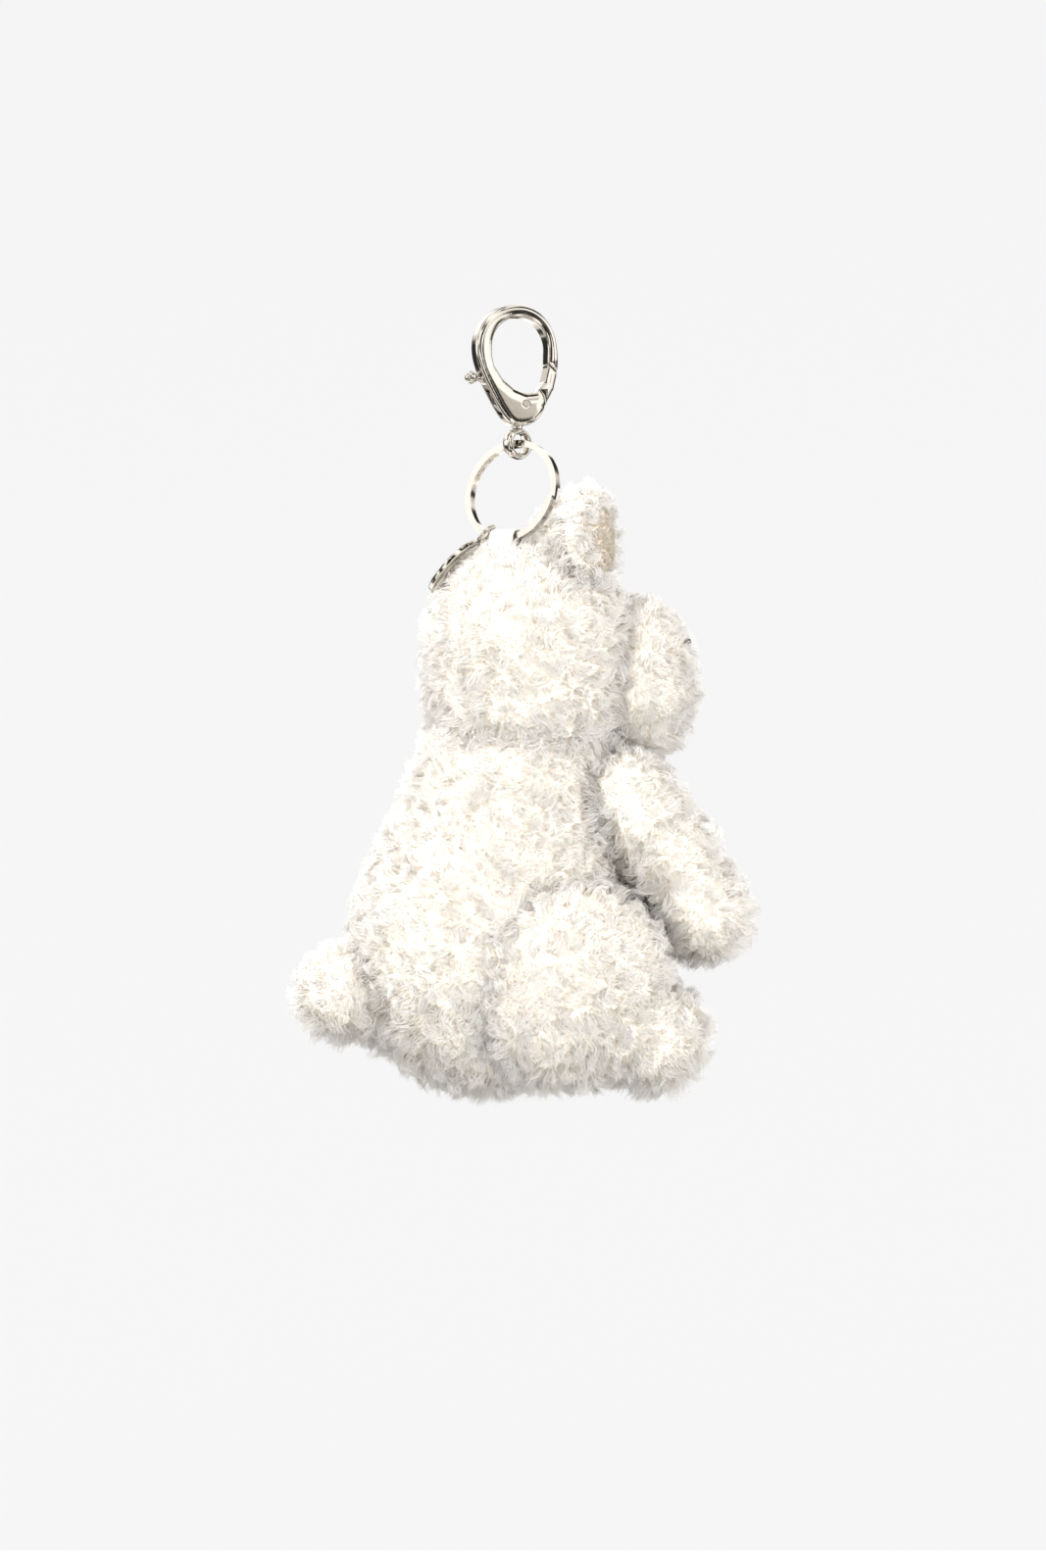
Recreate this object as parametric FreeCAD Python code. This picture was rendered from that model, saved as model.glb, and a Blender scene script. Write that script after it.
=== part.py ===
import FreeCAD, Part
import math
import os

V = FreeCAD.Vector

# Frame: millimetres, +Z up, +X the way the plush faces, origin at the inner top of the clasp's hook.

# Lobster clasp, drawn in its own X-Z plane and then turned about Z.
CLASP_TURN = 12.0
CLASP_THICK = 5.0
HOOK_R = 7.3
HOOK_CENTRE_X = 0.65
CLASP_EDGE_ROUND = 1.4
SLOT_WIDTH = 2.3
SLOT_TOP_Z = -13.3
SLOT_FLOOR_Z = -23.2
CLASP_BASE_Z = -25.6
PIVOT_X = 1.8
PIVOT_Z = -20.4
GATE_TIP_R = 11.35
GATE_GAP = 0.15
CHEEK_R = 5.2
LEVER_THICK = 2.0
GATE_THICK = 4.0
HUB_R = 2.7
PIN_R = 0.75
PIN_CLEARANCE = 0.05
THUMB_X = -7.6
THUMB_Z = -14.9
THUMB_HALF = 1.2
KNOB_X = -11.3
KNOB_Z = -14.6
KNOB_R = 1.5
KNOB_NECK_R = 0.7
SPRING_THICK = 0.35
SPRING_WIDTH = 1.6

# Swivel eye.
SWIVEL_X = 0.0
EYE_CENTRE_Z = -29.75
EYE_TURN = -60.0
EYE_HOLE_R = 2.25
EYE_HALF_RADIAL = 0.75
EYE_HALF_WIDE = 1.6
SHANK_R = 1.15
SHANK_CLEARANCE = 0.05
SHANK_HEAD_R = 1.7
SHANK_HEAD_TALL = 0.7
POCKET_R = 1.85
POCKET_FLOOR_Z = -24.35

# Split ring: a flat wire wound twice.
RING_MEAN_R = 11.75
RING_WIRE_WIDE = 1.5
RING_WIRE_TALL = 0.92
RING_PITCH = 1.0
RING_TURNS = 1.97
RING_TURN = -45.0
RING_LEAN = 12.0

# Round tag with a soldered bail that is threaded on the split ring.
TAG_ANGLE = 30.0
TAG_R = 8.2
TAG_THICK = 0.9
TAG_RIM_THICK = 1.3
TAG_RIM_WIDE = 0.8
BAIL_MEAN_R = 2.45
BAIL_WIRE_R = 0.5
TAG_DOWN = V(-0.673, 0.143, -0.726)
TAG_FACE = V(0.651, -0.351, -0.673)

# Ribbon loop.
RIBBON_WIDE = 6.5
RIBBON_THICK = 0.6
RIBBON_INNER_R = 2.0
RIBBON_END_Z = -58.5
STITCH_COUNT = 5
STITCH_R = 0.18

# Plush.
COVER = 1.2
HEAD_X = 2.4
HEAD_Z = -79.7
HEAD_R = 22.2
HEAD_HALF_TALL = 24.6
MUZZLE_X = 27.5
MUZZLE_Z = -85.5
MUZZLE_HALF = (13.4, 14.8, 17.5)
TORSO_TOP = (-1.5, -129.6, 23.9)
TORSO_BOTTOM = (-8.0, -150.5, 29.7)
ARM_SIDE = 12.5
SHOULDER = (23.7, -114.0, 7.8)
PAW = (43.0, -141.0, 8.4)
THIGH_SIDE = 19.5
THIGH_X = 9.4
THIGH_Z = -156.0
THIGH_R = 19.5
THIGH_HALF_WIDE = 11.0
FOOT_SIDE = 17.5
FOOT = (28.6, -168.6, 10.2)
TAIL_ROOT = (-35.0, -161.0, 7.5)
TAIL_TIP = (-42.6, -158.3, 8.6)
EAR_SIDE = 13.0
EAR_X = 13.9
EAR_Z = -52.6
EAR_R = 9.4
EAR_HALF_THICK = 2.8
EAR_LINING_R = 5.6
EAR_DISH_BALL = 14.0
EAR_LEAN = 8.0
EAR_TURN = 50.0
EYE_SIDE = 5.8
EYE_Z = -64.0
EYE_R = 2.0
NOSE_Z = -77.0
NOSE_HALF = (1.6, 3.2, 2.3)
GAP = 0.4
TAIL_GAP = 1.3


def direction(degrees):
    """A level unit vector at an angle from +X."""
    a = math.radians(degrees)
    return V(math.cos(a), math.sin(a), 0)


RING_ALONG = direction(RING_TURN)
RING_SIDE = direction(RING_TURN - 90.0)
RING_DOWN = V(0, 0, -math.cos(math.radians(RING_LEAN))) + RING_SIDE * math.sin(math.radians(RING_LEAN))
RING_TOP = V(SWIVEL_X, 0, EYE_CENTRE_Z)
RING_CENTRE = RING_TOP + RING_DOWN * RING_MEAN_R
RING_BOTTOM = RING_CENTRE + RING_DOWN * RING_MEAN_R
PLUSH_Y = RING_BOTTOM.y


def save(shape, name):
    """Write one node as one STEP file."""
    shape.exportStep("parts/" + name + ".step")


def wire_face(points, curved):
    """A face in the X-Z plane bounded by a smooth or a straight-sided closed line."""
    corners = [V(x, 0, z) for x, z in points]
    if curved:
        curve = Part.BSplineCurve()
        curve.interpolate(corners, PeriodicFlag=True)
        return Part.Face(Part.Wire([curve.toShape()]))
    return Part.Face(Part.makePolygon(corners + corners[:1]))


def slab(face, thick):
    """Extrude a face in the X-Z plane equally both ways along Y."""
    solid = face.extrude(V(0, thick, 0))
    solid.translate(V(0, -thick / 2, 0))
    return solid


def disc(x, z, radius, thick):
    """A round slab in the X-Z plane."""
    return Part.makeCylinder(radius, thick, V(x, -thick / 2, z), V(0, 1, 0))


def turn_clasp(shape):
    """Move a clasp piece from its own plane into the row frame."""
    shape.translate(V(-HOOK_CENTRE_X, 0, 0))
    shape.rotate(V(0, 0, 0), V(0, 0, 1), CLASP_TURN)
    return shape


def hook_opening():
    """The space inside the hook: a true cylinder on top and a smooth lower edge."""
    round_top = disc(HOOK_CENTRE_X, -HOOK_R, HOOK_R, 3 * CLASP_THICK)
    lower = [
        (HOOK_CENTRE_X - HOOK_R, -HOOK_R),
        (-6.6, -9.3),
        (-6.1, -11.6),
        (-3.8, -14.9),
        (-1.0, -17.0),
        (2.0, -18.0),
        (5.0, -17.6),
        (7.0, -15.0),
        (7.85, -11.5),
        (HOOK_CENTRE_X + HOOK_R, -HOOK_R),
    ]
    return round_top.fuse(slab(wire_face(lower, False), 3 * CLASP_THICK))


def clasp_outline():
    """The clasp's outer edge, from the hook's top round to the boss."""
    return [
        (0.6, 2.9),
        (5.4, 1.5),
        (8.9, -2.2),
        (10.3, -7.2),
        (10.4, -12.0),
        (9.3, -16.8),
        (7.2, -21.0),
        (4.4, -24.6),
        (2.0, CLASP_BASE_Z + 0.1),
        (-1.2, CLASP_BASE_Z + 0.1),
        (-4.0, -22.9),
        (-7.0, -18.0),
        (-9.6, -12.6),
        (-10.6, -6.8),
        (-8.8, -1.6),
        (-4.6, 1.9),
    ]


def clasp_body():
    """Hook, spine, two cheeks and base, with the slot for the lever."""
    body = slab(wire_face(clasp_outline(), True), CLASP_THICK)
    rims = [e for e in body.Edges if abs(abs(e.CenterOfMass.y) - CLASP_THICK / 2) < 0.01]
    body = body.makeFillet(CLASP_EDGE_ROUND, rims)
    body = body.cut(hook_opening())
    gate_room = disc(PIVOT_X, PIVOT_Z, GATE_TIP_R + GATE_GAP, 3 * CLASP_THICK)
    gate_room = gate_room.cut(disc(PIVOT_X, PIVOT_Z, CHEEK_R, 3 * CLASP_THICK))
    right = Part.makeBox(20, 3 * CLASP_THICK, 22, V(PIVOT_X, -1.5 * CLASP_THICK, PIVOT_Z - 2))
    body = body.cut(gate_room.common(right))
    slot_tall = SLOT_TOP_Z - SLOT_FLOOR_Z
    slot = Part.makeBox(40, SLOT_WIDTH, slot_tall, V(-20, -SLOT_WIDTH / 2, SLOT_FLOOR_Z))
    tip_guard = disc(PIVOT_X, PIVOT_Z, 30, SLOT_WIDTH).cut(disc(PIVOT_X, PIVOT_Z, GATE_TIP_R + GATE_GAP, SLOT_WIDTH))
    tip_guard = tip_guard.common(right)
    body = body.cut(slot.cut(tip_guard))
    axis_x = HOOK_CENTRE_X + SWIVEL_X
    body = body.cut(Part.makeCylinder(SHANK_R + SHANK_CLEARANCE, 3, V(axis_x, 0, CLASP_BASE_Z - 1)))
    body = body.cut(Part.makeCylinder(POCKET_R, 2, V(axis_x, 0, POCKET_FLOOR_Z)))
    body = body.cut(disc(PIVOT_X, PIVOT_Z, PIN_R, 2 * CLASP_THICK))
    return turn_clasp(body)


def gate_pin():
    """The pin that the lever turns on, with its two ends just proud of the cheeks."""
    return turn_clasp(disc(PIVOT_X, PIVOT_Z, PIN_R, CLASP_THICK + 0.2))


def gate_lever():
    """Gate arm, hub, thumb arm and ball knob in one piece."""
    arm = [
        (2.0, -18.0),
        (5.0, -17.6),
        (7.0, -15.0),
        (7.85, -11.5),
        (7.9, -9.6),
        (10.6, -9.6),
        (10.4, -12.0),
        (9.3, -16.8),
        (7.2, -20.6),
        (4.6, -22.0),
        (2.0, -22.6),
    ]
    wide = slab(wire_face(arm, False), GATE_THICK)
    wide = wide.common(disc(PIVOT_X, PIVOT_Z, GATE_TIP_R, GATE_THICK))
    wide = wide.cut(disc(PIVOT_X, PIVOT_Z, CHEEK_R + GATE_GAP, 2 * GATE_THICK))
    narrow = slab(wire_face(arm, False), LEVER_THICK)
    narrow = narrow.common(disc(PIVOT_X, PIVOT_Z, GATE_TIP_R, LEVER_THICK))
    along = V(THUMB_X - PIVOT_X, 0, THUMB_Z - PIVOT_Z)
    across = V(-along.z, 0, along.x).normalize() * THUMB_HALF
    start = V(PIVOT_X, 0, PIVOT_Z)
    end = V(THUMB_X, 0, THUMB_Z)
    corners = [start + across, end + across, end - across, start - across]
    thumb = slab(wire_face([(p.x, p.z) for p in corners], False), LEVER_THICK)
    lever = wide.fuse([narrow, thumb, disc(PIVOT_X, PIVOT_Z, HUB_R, LEVER_THICK)])
    lever = lever.fuse(disc(THUMB_X, THUMB_Z, THUMB_HALF, LEVER_THICK))
    knob = V(KNOB_X, 0, KNOB_Z)
    neck = Part.makeCylinder(KNOB_NECK_R, (knob - end).Length, end, knob - end)
    lever = lever.fuse([neck, Part.makeSphere(KNOB_R, knob)])
    lever = lever.cut(disc(PIVOT_X, PIVOT_Z, PIN_R + PIN_CLEARANCE, CLASP_THICK))
    return turn_clasp(lever)


def gate_spring():
    """A bent leaf between the slot's floor and the thumb arm."""
    upper = [(-1.4, -22.75), (-3.4, -22.1), (-5.0, -20.4), (-5.9, -17.6)]
    lower = [(x - SPRING_THICK, z - SPRING_THICK) for x, z in upper]
    return turn_clasp(slab(wire_face(upper + lower[::-1], False), SPRING_WIDTH))


def swivel_eye():
    """Barrel-shaped eye with a headed shank that turns in the clasp's base."""
    centre_r = EYE_HOLE_R + EYE_HALF_RADIAL
    oval = Part.Ellipse(V(centre_r, 0, EYE_HALF_WIDE), V(centre_r + EYE_HALF_RADIAL, 0, 0), V(centre_r, 0, 0))
    eye = Part.Face(Part.Wire([oval.toShape()])).revolve(V(0, 0, 0), V(0, 0, 1), 360)
    eye = Part.Solid(eye) if eye.ShapeType == "Shell" else eye
    eye.rotate(V(0, 0, 0), V(0, 1, 0), 90)
    eye.rotate(V(0, 0, 0), V(0, 0, 1), EYE_TURN)
    eye.translate(RING_TOP)
    shank_low = EYE_CENTRE_Z + centre_r
    shank_top = POCKET_FLOOR_Z + 0.1
    shank = Part.makeCylinder(SHANK_R, shank_top - shank_low, V(SWIVEL_X, 0, shank_low))
    head = Part.makeCylinder(SHANK_HEAD_R, SHANK_HEAD_TALL, V(SWIVEL_X, 0, shank_top))
    return eye.fuse([shank, head])


def ring_frame(shape):
    """Move a shape from the ring's own frame (axis +Z, top at +X) into place."""
    up = RING_DOWN * -1
    normal = up.cross(RING_ALONG)
    m = FreeCAD.Matrix()
    m.A11, m.A21, m.A31 = up.x, up.y, up.z
    side = normal.cross(up)
    m.A12, m.A22, m.A32 = side.x, side.y, side.z
    m.A13, m.A23, m.A33 = normal.x, normal.y, normal.z
    m.A14, m.A24, m.A34 = RING_CENTRE.x, RING_CENTRE.y, RING_CENTRE.z
    shape.Placement = FreeCAD.Placement(m)
    return shape


def split_ring():
    """Two turns of flat wire side by side."""
    height = RING_PITCH * RING_TURNS
    path = Part.makeHelix(RING_PITCH, height, RING_MEAN_R)
    a = RING_MEAN_R - RING_WIRE_WIDE / 2
    b = RING_MEAN_R + RING_WIRE_WIDE / 2
    h = RING_WIRE_TALL / 2
    section = Part.makePolygon([V(a, 0, -h), V(b, 0, -h), V(b, 0, h), V(a, 0, h), V(a, 0, -h)])
    ring = Part.Wire(path).makePipeShell([section], True, True)
    ring.rotate(V(0, 0, 0), V(0, 0, 1), 98)
    ring.translate(V(0, 0, -height / 2))
    ring = Part.makeCompound([ring])
    return ring_frame(ring).Solids[0]


def tag_joint():
    """The point of the split ring's wire that the bail hangs on."""
    a = math.radians(TAG_ANGLE)
    return RING_CENTRE - RING_ALONG * (RING_MEAN_R * math.sin(a)) + RING_DOWN * (RING_MEAN_R * math.cos(a))


def tag_bail():
    """The wire loop round the split ring."""
    return Part.makeTorus(BAIL_MEAN_R, BAIL_WIRE_R, tag_joint(), TAG_FACE)


def tag_disc():
    """Plain round disc with a raised rim on both faces."""
    centre = tag_joint() + TAG_DOWN * (BAIL_MEAN_R + TAG_R + 0.2)
    rim = Part.makeCylinder(TAG_R, TAG_RIM_THICK, centre - TAG_FACE * (TAG_RIM_THICK / 2), TAG_FACE)
    inner = Part.makeCylinder(TAG_R - TAG_RIM_WIDE, 3, centre - TAG_FACE * 1.5, TAG_FACE)
    rim = rim.makeFillet(0.3, rim.Edges[:1] + rim.Edges[2:])
    web = Part.makeCylinder(TAG_R - 0.4, TAG_THICK, centre - TAG_FACE * (TAG_THICK / 2), TAG_FACE)
    return rim.cut(inner).fuse(web).cut(tag_bail())


def ribbon_loop():
    """A strip of ribbon over the ring's wire, with both ends let into the head."""
    outer_r = RIBBON_INNER_R + RIBBON_THICK
    start = RING_BOTTOM - RING_ALONG * (RIBBON_WIDE / 2)
    drop = RING_BOTTOM.z - RIBBON_END_Z

    def blank(radius):
        bar = Part.makeCylinder(radius, RIBBON_WIDE, start, RING_ALONG)
        tail = Part.makeBox(RIBBON_WIDE, 2 * radius, drop, V(0, -radius, -drop))
        tail.rotate(V(0, 0, 0), V(0, 0, 1), RING_TURN)
        tail.translate(start)
        return bar.fuse(tail)

    return blank(outer_r).cut(blank(RIBBON_INNER_R))


def ribbon_stitches():
    """Two rows of thread where the ribbon enters the head."""
    rows = []
    for side in (-1, 1):
        for n in range(STITCH_COUNT):
            along = (n - (STITCH_COUNT - 1) / 2) * (RIBBON_WIDE - 1.6) / (STITCH_COUNT - 1)
            place = RING_BOTTOM + RING_ALONG * (along - 0.35)
            place = place + RING_SIDE * (side * (RIBBON_INNER_R + RIBBON_THICK + STITCH_R))
            place.z = RING_BOTTOM.z - 1.7
            rows.append(Part.makeCylinder(STITCH_R, 0.7, place, RING_ALONG))
    return Part.makeCompound(rows)


def oval(x, y, z, half, inset):
    """An ellipsoid with three half sizes, made smaller all round by an inset."""
    m = FreeCAD.Matrix()
    m.scale(half[0] - inset, half[1] - inset, half[2] - inset)
    solid = Part.makeSphere(1.0).transformGeometry(m)
    solid.translate(V(x, y, z))
    return solid


def puck(x, y, z, radius, half_wide, turn=150):
    """A round cushion lying across Y: flat faces and a fully rounded rim."""
    flat = radius - half_wide
    edges = [
        Part.makeLine(V(0, -half_wide, 0), V(flat, -half_wide, 0)),
        Part.Arc(V(flat, -half_wide, 0), V(radius, 0, 0), V(flat, half_wide, 0)).toShape(),
        Part.makeLine(V(flat, half_wide, 0), V(0, half_wide, 0)),
        Part.makeLine(V(0, half_wide, 0), V(0, -half_wide, 0)),
    ]
    solid = Part.Face(Part.Wire(edges)).revolve(V(0, 0, 0), V(0, 1, 0), 360)
    solid.rotate(V(0, 0, 0), V(0, 1, 0), turn)
    solid.translate(V(x, y, z))
    return solid


def rounded(start, start_r, end, end_r):
    """Two balls and the cone that joins them, as one smooth solid."""
    length = (end - start).Length
    s = (start_r - end_r) / length
    c = math.sqrt(1 - s * s)
    low = (math.asin(s) - math.pi / 2) / 2
    high = (math.asin(s) + math.pi / 2) / 2
    base = V(0, 0, -start_r)
    leave = V(start_r * c, 0, start_r * s)
    meet = V(end_r * c, 0, length + end_r * s)
    tip = V(0, 0, length + end_r)
    low_mid = V(start_r * math.cos(low), 0, start_r * math.sin(low))
    high_mid = V(end_r * math.cos(high), 0, length + end_r * math.sin(high))
    edges = [
        Part.Arc(base, low_mid, leave).toShape(),
        Part.makeLine(leave, meet),
        Part.Arc(meet, high_mid, tip).toShape(),
        Part.makeLine(tip, base),
    ]
    solid = Part.Face(Part.Wire(edges)).revolve(V(0, 0, 0), V(0, 0, 1), 360)
    solid.Placement = FreeCAD.Placement(start, FreeCAD.Rotation(V(0, 0, 1), end - start))
    return solid


def head_form(inset):
    """The head's outside, or its inside with an inset."""
    half = (HEAD_R, HEAD_R, HEAD_HALF_TALL)
    return oval(HEAD_X, PLUSH_Y, HEAD_Z, half, inset)


def muzzle_form(inset):
    """The muzzle, seated on the head's surface."""
    return oval(MUZZLE_X, PLUSH_Y, MUZZLE_Z, MUZZLE_HALF, inset).cut(head_form(-inset))


def arm_form(side, grow):
    """One arm; side is -1 for the near one and 1 for the far one."""
    y = PLUSH_Y + side * ARM_SIDE
    return rounded(V(SHOULDER[0], y, SHOULDER[1]), SHOULDER[2] + grow, V(PAW[0], y, PAW[1]), PAW[2] + grow)


def thigh_form(side, grow):
    """The flat round thigh."""
    return puck(THIGH_X, PLUSH_Y + side * THIGH_SIDE, THIGH_Z, THIGH_R + grow, THIGH_HALF_WIDE + grow)


def leg_form(side, grow):
    """One thigh with its foot."""
    thigh = thigh_form(side, grow)
    foot = Part.makeSphere(FOOT[2] + grow, V(FOOT[0], PLUSH_Y + side * FOOT_SIDE, FOOT[1]))
    return thigh.fuse(foot)


def tail_form(grow):
    """The round tail."""
    root = V(TAIL_ROOT[0], PLUSH_Y, TAIL_ROOT[1])
    tip = V(TAIL_TIP[0], PLUSH_Y, TAIL_TIP[1])
    return rounded(root, TAIL_ROOT[2] + grow, tip, TAIL_TIP[2] + grow)


def torso_form(inset):
    """The pear-shaped body."""
    top = V(TORSO_TOP[0], PLUSH_Y, TORSO_TOP[1])
    bottom = V(TORSO_BOTTOM[0], PLUSH_Y, TORSO_BOTTOM[1])
    return rounded(top, TORSO_TOP[2] - inset, bottom, TORSO_BOTTOM[2] - inset)


def torso_seats(solid, grow):
    """Cut the seats of the tail and the thighs from the torso."""
    for tool in (tail_form(grow + TAIL_GAP - GAP), thigh_form(-1, grow), thigh_form(1, grow)):
        solid = solid.cut(tool)
    return solid


def torso_pieces():
    """The torso's cover and the stuffing that fills it."""
    outside = torso_seats(torso_form(0), GAP)
    inside = torso_seats(torso_form(COVER), GAP + COVER)
    return outside.cut(inside), inside


def ear(side):
    """An upright round ear and the lining set into its front, turned out to its own side."""
    shell = puck(0, 0, 0, EAR_R, EAR_HALF_THICK, -90)
    depth = EAR_DISH_BALL - math.sqrt(EAR_DISH_BALL ** 2 - EAR_LINING_R ** 2)
    dish = Part.makeSphere(EAR_DISH_BALL, V(0, -EAR_HALF_THICK - EAR_DISH_BALL + depth, 0))
    lining = shell.common(dish)
    shell = shell.cut(dish)
    for shape in (shell, lining):
        shape.rotate(V(0, 0, 0), V(0, 0, 1), 90)
        shape.rotate(V(0, 0, 0), V(1, 0, 0), -side * EAR_LEAN)
        shape.rotate(V(0, 0, 0), V(0, 0, 1), side * EAR_TURN)
        shape.translate(V(EAR_X, PLUSH_Y + side * EAR_SIDE, EAR_Z))
    return shell, lining


def head_surface(side_y, z, x_sign):
    """A point on the front of the head and the outward direction there."""
    up = (z - HEAD_Z) / HEAD_HALF_TALL
    level = HEAD_R * math.sqrt(1 - up * up)
    x = math.sqrt(level * level - side_y * side_y) * x_sign
    out = V(x / HEAD_R ** 2, side_y / HEAD_R ** 2, (z - HEAD_Z) / HEAD_HALF_TALL ** 2)
    return V(HEAD_X + x, PLUSH_Y + side_y, z), out.normalize()


def face_eye(side):
    """A domed eye with a shank, and the washer that holds it inside the cover."""
    point, out = head_surface(side * EYE_SIDE, EYE_Z, 1)
    dome = Part.makeSphere(EYE_R, point + out * 0.5).cut(head_form(0))
    shank = Part.makeCylinder(0.6, 5.0, point + out * 0.6, out * -1)
    washer = Part.makeCylinder(2.4, 0.6, point - out * (COVER + 0.6), out * -1)
    washer = washer.cut(Part.makeCylinder(0.6, 4.0, point - out * COVER, out * -1))
    return dome.fuse(shank), washer


def muzzle_nose():
    """An oval nose with a shank, and its washer."""
    up = (NOSE_Z - MUZZLE_Z) / MUZZLE_HALF[2]
    x = MUZZLE_HALF[0] * math.sqrt(1 - up * up)
    out = V(x / MUZZLE_HALF[0] ** 2, 0, (NOSE_Z - MUZZLE_Z) / MUZZLE_HALF[2] ** 2).normalize()
    point = V(MUZZLE_X + x, PLUSH_Y, NOSE_Z)
    place = point + out * 0.5
    cap = oval(place.x, place.y, place.z, NOSE_HALF, 0).cut(muzzle_form(0))
    shank = Part.makeCylinder(0.6, 5.0, point + out * 0.8, out * -1)
    washer = Part.makeCylinder(2.4, 0.6, point - out * (COVER + 0.6), out * -1)
    washer = washer.cut(Part.makeCylinder(0.6, 4.0, point - out * COVER, out * -1))
    return cap.fuse(shank), washer


def metal():
    """All pieces of the clasp, the ring and the tag."""
    save(clasp_body(), "clasp_body")
    save(gate_pin(), "gate_pin")
    save(gate_lever(), "gate_lever")
    save(gate_spring(), "gate_spring")
    save(swivel_eye(), "swivel_eye")
    save(split_ring(), "split_ring")
    save(tag_bail(), "tag_bail")
    save(tag_disc(), "tag_disc")


def head():
    """The head with its muzzle, ears, face and ribbon."""
    ribbon = ribbon_loop()
    save(ribbon, "ribbon_loop")
    save(ribbon_stitches(), "ribbon_stitches")
    outside = head_form(0)
    inside = head_form(COVER)
    eyes = []
    washers = []
    for side, name in ((-1, "right"), (1, "left")):
        eye, washer = face_eye(side)
        save(eye, "eye_" + name)
        save(washer, "eye_washer_" + name)
        eyes.append(eye)
        washers.append(washer)
        shell, lining = ear(side)
        save(shell, "ear_" + name)
        save(lining, "ear_lining_" + name)
    save(outside.cut(inside).cut(eyes + [ribbon]), "head_cover")
    save(inside.cut(eyes + washers + [ribbon]), "head_stuffing")
    nose, washer = muzzle_nose()
    save(nose, "nose")
    save(washer, "nose_washer")
    inner = muzzle_form(COVER)
    save(muzzle_form(0).cut(inner).cut(nose), "muzzle_cover")
    save(inner.cut([nose, washer]), "muzzle_stuffing")


def body():
    """The torso, arms, legs and tail."""
    cover, filling = torso_pieces()
    save(cover, "torso_cover")
    save(filling, "torso_stuffing")
    for side, name in ((-1, "right"), (1, "left")):
        inner = arm_form(side, -COVER)
        save(arm_form(side, 0).cut(inner), "arm_cover_" + name)
        save(inner, "arm_stuffing_" + name)
        inner = leg_form(side, -COVER)
        save(leg_form(side, 0).cut(inner), "leg_cover_" + name)
        save(inner, "leg_stuffing_" + name)
    inner = tail_form(-COVER)
    save(tail_form(0).cut(inner), "tail_cover")
    save(inner, "tail_stuffing")


os.makedirs("parts", exist_ok=True)
metal()
head()
body()
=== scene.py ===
import math

import bpy
import numpy as np
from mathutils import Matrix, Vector
from mathutils.kdtree import KDTree


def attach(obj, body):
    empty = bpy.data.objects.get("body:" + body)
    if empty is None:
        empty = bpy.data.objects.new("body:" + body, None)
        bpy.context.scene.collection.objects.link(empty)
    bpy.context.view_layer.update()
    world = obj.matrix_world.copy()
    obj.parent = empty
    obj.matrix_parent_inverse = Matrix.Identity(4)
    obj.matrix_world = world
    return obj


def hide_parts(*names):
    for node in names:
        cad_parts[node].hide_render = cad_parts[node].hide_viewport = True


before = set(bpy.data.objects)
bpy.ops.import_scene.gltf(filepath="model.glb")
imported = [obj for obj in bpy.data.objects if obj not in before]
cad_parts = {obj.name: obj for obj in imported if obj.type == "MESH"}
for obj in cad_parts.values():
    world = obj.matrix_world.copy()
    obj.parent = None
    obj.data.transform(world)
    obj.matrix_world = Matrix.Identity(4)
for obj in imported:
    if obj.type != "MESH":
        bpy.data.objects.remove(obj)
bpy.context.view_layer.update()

# Lengths below are millimetres in the row frame until they are scaled by MM.
MM = 0.001
MID = -3.455
VIEW_TURN = math.radians(-12)
TO_CAMERA = np.array([math.sin(VIEW_TURN), -math.cos(VIEW_TURN), 0.0])
TO_RIGHT = np.array([math.cos(VIEW_TURN), math.sin(VIEW_TURN), 0.0])
RING_ALONG = np.array([math.sqrt(0.5), -math.sqrt(0.5), 0.0])
RING_SIDE = np.array([-math.sqrt(0.5), -math.sqrt(0.5), 0.0])
RING_BOTTOM = np.array([-3.455, -3.455, -52.736])
TAG_CENTRE = np.array([-14.68, 2.48, -59.07])
TAG_FACE = np.array([0.651, -0.351, -0.673])
SIDES = {"right": -1, "left": 1}
TORSO_SLIM = 0.9
EAR_TURN = 42
EAR_LEAN = 8
EAR_CUP = 0.035
EAR_SET_BACK = 0.6


# ---------------------------------------------------------------- soft forms

def ball(p, centre, radius):
    return np.linalg.norm(p - np.array(centre), axis=1) - radius


def oval(p, centre, half):
    q = (p - np.array(centre)) / np.array(half)
    near = np.linalg.norm(q, axis=1) + 1e-9
    slope = np.linalg.norm(q / np.array(half), axis=1) + 1e-9
    return near * (near - 1) / slope


def limb(p, start, start_r, end, end_r):
    a, b = np.array(start, float), np.array(end, float)
    t = np.clip((p - a) @ (b - a) / ((b - a) @ (b - a)), 0, 1)
    return np.linalg.norm(p - a - t[:, None] * (b - a), axis=1) - (start_r + (end_r - start_r) * t)


def join(a, b, blend):
    h = np.clip(0.5 + 0.5 * (b - a) / blend, 0, 1)
    return b + (a - b) * h - blend * h * (1 - h)


def head_form(p):
    d = oval(p, (2.4, MID, -79.2), (23.0, 23.0, 24.8))
    return join(d, ball(p, (1.4, MID, -91.5), 20.8), 5)


def muzzle_form(p):
    return oval(p, (27.3, MID, -85.5), (12.6, 15.4, 18.0))


def torso_form(p):
    p = p * np.array([1, 1 / TORSO_SLIM, 1]) - np.array([0, MID / TORSO_SLIM - MID, 0])
    d = limb(p, (-1.5, MID, -129.6), 24.2, (-8.0, MID, -150.5), 30.0)
    d = join(d, limb(p, (1.2, MID, -101.0), 21.0, (-5.4, MID, -126.0), 23.8), 5)
    return join(d, ball(p, (-9.5, MID, -141.0), 26.5), 5)


def leg_form(side):
    def form(p):
        d = oval(p, (7.2, MID + side * 19.5, -156.2), (22.6, 13.6, 22.4))
        return join(d, ball(p, (27.6, MID + side * 17.5, -168.4), 11.2), 4)
    return form


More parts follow.
